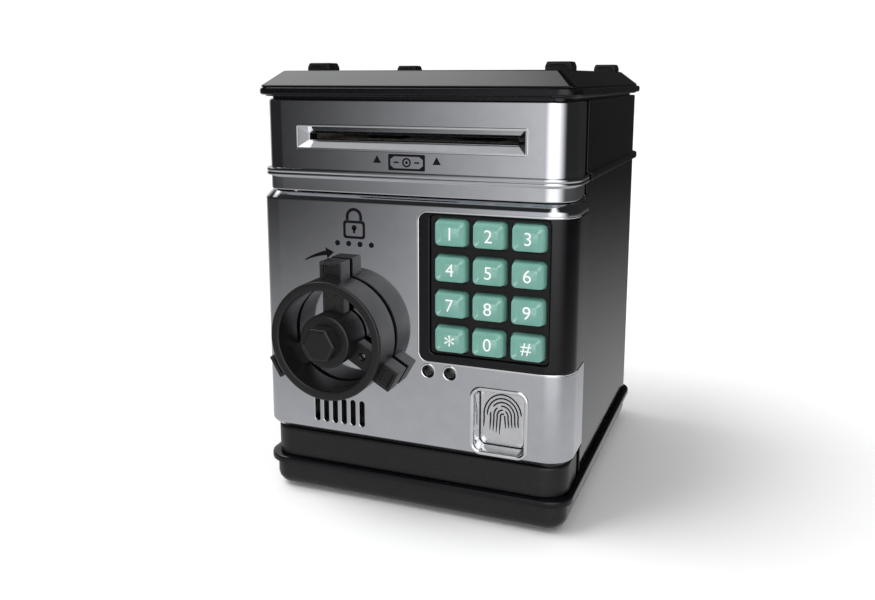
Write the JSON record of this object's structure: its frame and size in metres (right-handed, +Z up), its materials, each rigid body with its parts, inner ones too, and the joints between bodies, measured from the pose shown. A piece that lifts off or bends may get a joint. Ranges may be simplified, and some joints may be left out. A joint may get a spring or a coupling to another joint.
{
  "type": "toy atm savings bank",
  "caption": "Toy cash machine savings bank with a hinged safe door, spoked turning knob, telephone-style keypad, motor-fed banknote slot and a coin slot in its bevelled roof.",
  "frame": {"origin": "on the floor, under the middle of the overall width and the overall length (knob tip to back flange)", "axes": "+X to the right as the front is seen, -Y out of the front, +Z up"},
  "size_m": [0.14, 0.176, 0.19],
  "materials": {
    "chrome_front": "bright plated plastic",
    "black_gloss": "polished moulded plastic",
    "base_satin": "satin moulded plastic",
    "black_matte": "plain moulded plastic",
    "keypad_field": "fine matt texture",
    "knob_plastic": "satin dark grey moulded plastic",
    "key_plastic": "soft mint green with white figures",
    "rubber": "matt rubber",
    "silicone": "translucent grey silicone",
    "steel": "bright zinc plated steel",
    "brass": "turned brass",
    "white_plastic": "natural acetal",
    "circuit_board": "green solder mask",
    "cell_wrap": "printed cell wrap",
    "wire": "wire insulation",
    "lens": "smoked lens",
    "silver_plastic": "silver painted plastic"
  },
  "bodies": {
    "case": {"base_tray": "base_satin", "feet": "rubber", "battery_box": "black_matte", "battery_cells": "cell_wrap", "battery_contacts": "steel", "battery_cover": "black_matte", "cover_screw": "steel", "inner_floor": "black_matte", "front_plinth": "base_satin", "back_shell": "black_gloss", "front_frame": "black_matte", "strike_plate": "steel", "head_fascia": "chrome_front", "bill_slot_bezel": "chrome_front", "feed_bracket": "white_plastic", "feed_motor": "steel", "top_cover": "black_gloss", "roof_blocks": "black_gloss", "coin_chute": "black_matte", "main_board": "circuit_board", "battery_lead": "wire", "hinge_pins": "steel", "case_screws": "steel"},
    "drive_roller": {"drive_shaft": "steel", "drive_rollers": "rubber", "drive_gear": "white_plastic"},
    "motor_rotor": {"motor_pinion": "brass"},
    "pressure_roller": {"idler_shaft": "steel", "idler_rollers": "rubber"},
    "door": {"door_shell": "chrome_front", "door_liner": "black_matte", "keypad_bezel": "black_gloss", "keypad_plate": "keypad_field", "key_membrane": "silicone", "keypad_board": "circuit_board", "indicator_lenses": "lens", "speaker": "black_matte", "scanner_surround": "chrome_front", "scanner_plate": "silver_plastic", "knob_bush": "steel", "lock_solenoid": "steel", "door_screws": "steel"},
    "lock_pin": {"lock_pin": "steel"},
    "knob": {"knob_wheel": "knob_plastic", "knob_cap": "knob_plastic", "knob_shaft": "steel", "latch_cam": "steel"},
    "key_1": {"key_1": "key_plastic"},
    "key_2": {"key_2": "key_plastic"},
    "key_3": {"key_3": "key_plastic"},
    "key_4": {"key_4": "key_plastic"},
    "key_5": {"key_5": "key_plastic"},
    "key_6": {"key_6": "key_plastic"},
    "key_7": {"key_7": "key_plastic"},
    "key_8": {"key_8": "key_plastic"},
    "key_9": {"key_9": "key_plastic"},
    "key_star": {"key_star": "key_plastic"},
    "key_0": {"key_0": "key_plastic"},
    "key_hash": {"key_hash": "key_plastic"}
  },
  "joints": [
    {"name": "door_hinge", "type": "hinge", "parent": "case", "child": "door", "pos_m": [0.0665, -0.0385, 0.083], "axis": [0, 0, 1], "range_deg": [0, 110]},
    {"name": "knob_turn", "type": "hinge", "parent": "door", "child": "knob", "pos_m": [-0.0295, -0.0665, 0.077], "axis": [0, -1, 0], "range_deg": [0, 70]},
    {"name": "lock_pin_slide", "type": "slide", "parent": "door", "child": "lock_pin", "axis": [0, 1, 0], "range_m": [0, 0.003]},
    {"name": "feed_spin", "type": "hinge", "parent": "case", "child": "drive_roller", "pos_m": [0, -0.0325, 0.1533], "axis": [1, 0, 0], "continuous": true},
    {"name": "motor_spin", "type": "hinge", "parent": "case", "child": "motor_rotor", "pos_m": [-0.045, -0.0485, 0.14597], "axis": [1, 0, 0], "continuous": true},
    {"name": "pressure_roller_spin", "type": "hinge", "parent": "case", "child": "pressure_roller", "pos_m": [0, -0.0325, 0.1645], "axis": [1, 0, 0], "continuous": true},
    {"name": "key_1_press", "type": "slide", "parent": "door", "child": "key_1", "axis": [0, 1, 0], "range_m": [0, 0.0012], "stiffness_N_per_m": 150},
    {"name": "key_2_press", "type": "slide", "parent": "door", "child": "key_2", "axis": [0, 1, 0], "range_m": [0, 0.0012], "stiffness_N_per_m": 150},
    {"name": "key_3_press", "type": "slide", "parent": "door", "child": "key_3", "axis": [0, 1, 0], "range_m": [0, 0.0012], "stiffness_N_per_m": 150},
    {"name": "key_4_press", "type": "slide", "parent": "door", "child": "key_4", "axis": [0, 1, 0], "range_m": [0, 0.0012], "stiffness_N_per_m": 150},
    {"name": "key_5_press", "type": "slide", "parent": "door", "child": "key_5", "axis": [0, 1, 0], "range_m": [0, 0.0012], "stiffness_N_per_m": 150},
    {"name": "key_6_press", "type": "slide", "parent": "door", "child": "key_6", "axis": [0, 1, 0], "range_m": [0, 0.0012], "stiffness_N_per_m": 150},
    {"name": "key_7_press", "type": "slide", "parent": "door", "child": "key_7", "axis": [0, 1, 0], "range_m": [0, 0.0012], "stiffness_N_per_m": 150},
    {"name": "key_8_press", "type": "slide", "parent": "door", "child": "key_8", "axis": [0, 1, 0], "range_m": [0, 0.0012], "stiffness_N_per_m": 150},
    {"name": "key_9_press", "type": "slide", "parent": "door", "child": "key_9", "axis": [0, 1, 0], "range_m": [0, 0.0012], "stiffness_N_per_m": 150},
    {"name": "key_star_press", "type": "slide", "parent": "door", "child": "key_star", "axis": [0, 1, 0], "range_m": [0, 0.0012], "stiffness_N_per_m": 150},
    {"name": "key_0_press", "type": "slide", "parent": "door", "child": "key_0", "axis": [0, 1, 0], "range_m": [0, 0.0012], "stiffness_N_per_m": 150},
    {"name": "key_hash_press", "type": "slide", "parent": "door", "child": "key_hash", "axis": [0, 1, 0], "range_m": [0, 0.0012], "stiffness_N_per_m": 150}
  ],
  "couplings": [
    {"joint": "motor_spin", "follows": "feed_spin", "ratio": -3.4},
    {"joint": "pressure_roller_spin", "follows": "feed_spin", "ratio": -1.2}
  ]
}
